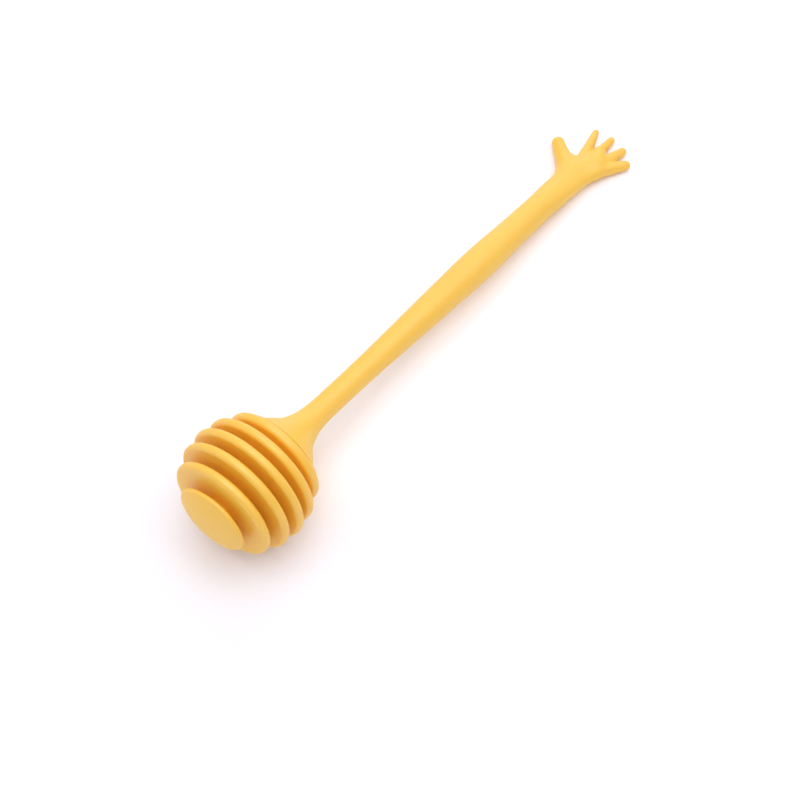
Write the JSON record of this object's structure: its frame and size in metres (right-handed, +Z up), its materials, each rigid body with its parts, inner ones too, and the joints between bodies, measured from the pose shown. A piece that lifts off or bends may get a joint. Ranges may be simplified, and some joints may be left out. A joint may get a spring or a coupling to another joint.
{
  "type": "honey dipper",
  "caption": "Silicone honey dipper: a ball head with deep ring grooves holds honey, on a slim arm-shaped handle that ends in an open hand, moulded over a stiff core.",
  "frame": {"origin": "on the table under the middle of the whole box, with the tool lying at rest on its side", "axes": "+X level, from the grooved head to the hand; +Y to the thumb's side; +Z up, away from the table"},
  "size_m": [0.175, 0.035, 0.0349],
  "materials": {
    "silicone": "matte, slightly translucent honey-yellow silicone",
    "core_nylon": "natural glass-filled nylon"
  },
  "bodies": {
    "root": {"dipper_head": "silicone", "arm_handle": "silicone", "core_rod": "core_nylon"}
  },
  "joints": []
}
